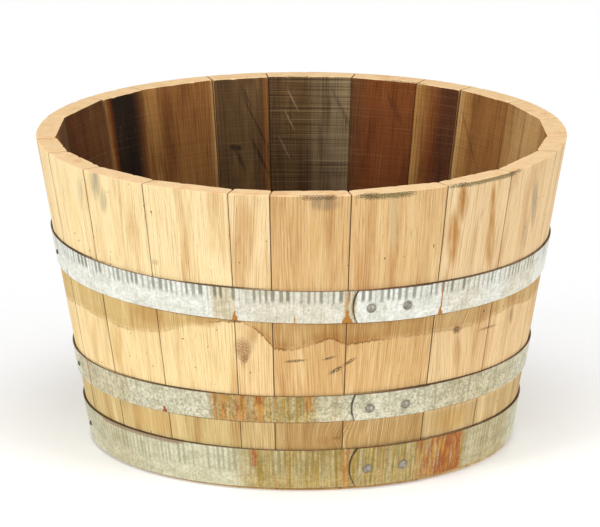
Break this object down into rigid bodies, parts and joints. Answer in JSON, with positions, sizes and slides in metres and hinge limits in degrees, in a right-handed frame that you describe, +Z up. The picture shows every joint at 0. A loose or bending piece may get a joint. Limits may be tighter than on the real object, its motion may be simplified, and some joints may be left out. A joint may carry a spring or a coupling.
{
  "type": "half barrel tub",
  "caption": "Round open tub cut from a wooden barrel: tapering staves held by riveted steel hoops, with a flat boarded bottom set in a groove.",
  "frame": {"origin": "on the floor at the centre of the tub's foot, on the tub's axis", "axes": "+Z up along the axis of the tub; -Y towards the front, where the hoop laps are; +X to the right seen from the front"},
  "size_m": [0.6996, 0.6996, 0.409],
  "materials": {
    "stave_wood": "bare weathered oak, pale fresh-sawn rim, stained dark inside",
    "head_wood": "bare oak, stained dark",
    "dowel_wood": "bare",
    "hoop_steel": "galvanised, dull, with rust stains",
    "rivet_steel": "dull grey, rough",
    "nail_steel": "dark, rough"
  },
  "bodies": {
    "root": {"stave_01": "stave_wood", "stave_02": "stave_wood", "stave_03": "stave_wood", "stave_04": "stave_wood", "stave_05": "stave_wood", "stave_06": "stave_wood", "stave_07": "stave_wood", "stave_08": "stave_wood", "stave_09": "stave_wood", "stave_10": "stave_wood", "stave_11": "stave_wood", "stave_12": "stave_wood", "stave_13": "stave_wood", "stave_14": "stave_wood", "stave_15": "stave_wood", "stave_16": "stave_wood", "stave_17": "stave_wood", "stave_18": "stave_wood", "stave_19": "stave_wood", "stave_20": "stave_wood", "stave_21": "stave_wood", "head_board_1": "head_wood", "head_board_2": "head_wood", "head_board_3": "head_wood", "head_board_4": "head_wood", "head_board_5": "head_wood", "head_board_6": "head_wood", "head_dowels": "dowel_wood", "upper_hoop": "hoop_steel", "middle_hoop": "hoop_steel", "foot_hoop": "hoop_steel", "upper_hoop_rivets": "rivet_steel", "middle_hoop_rivets": "rivet_steel", "foot_hoop_rivets": "rivet_steel", "upper_hoop_nails": "nail_steel", "middle_hoop_nails": "nail_steel", "foot_hoop_nails": "nail_steel"}
  },
  "joints": []
}
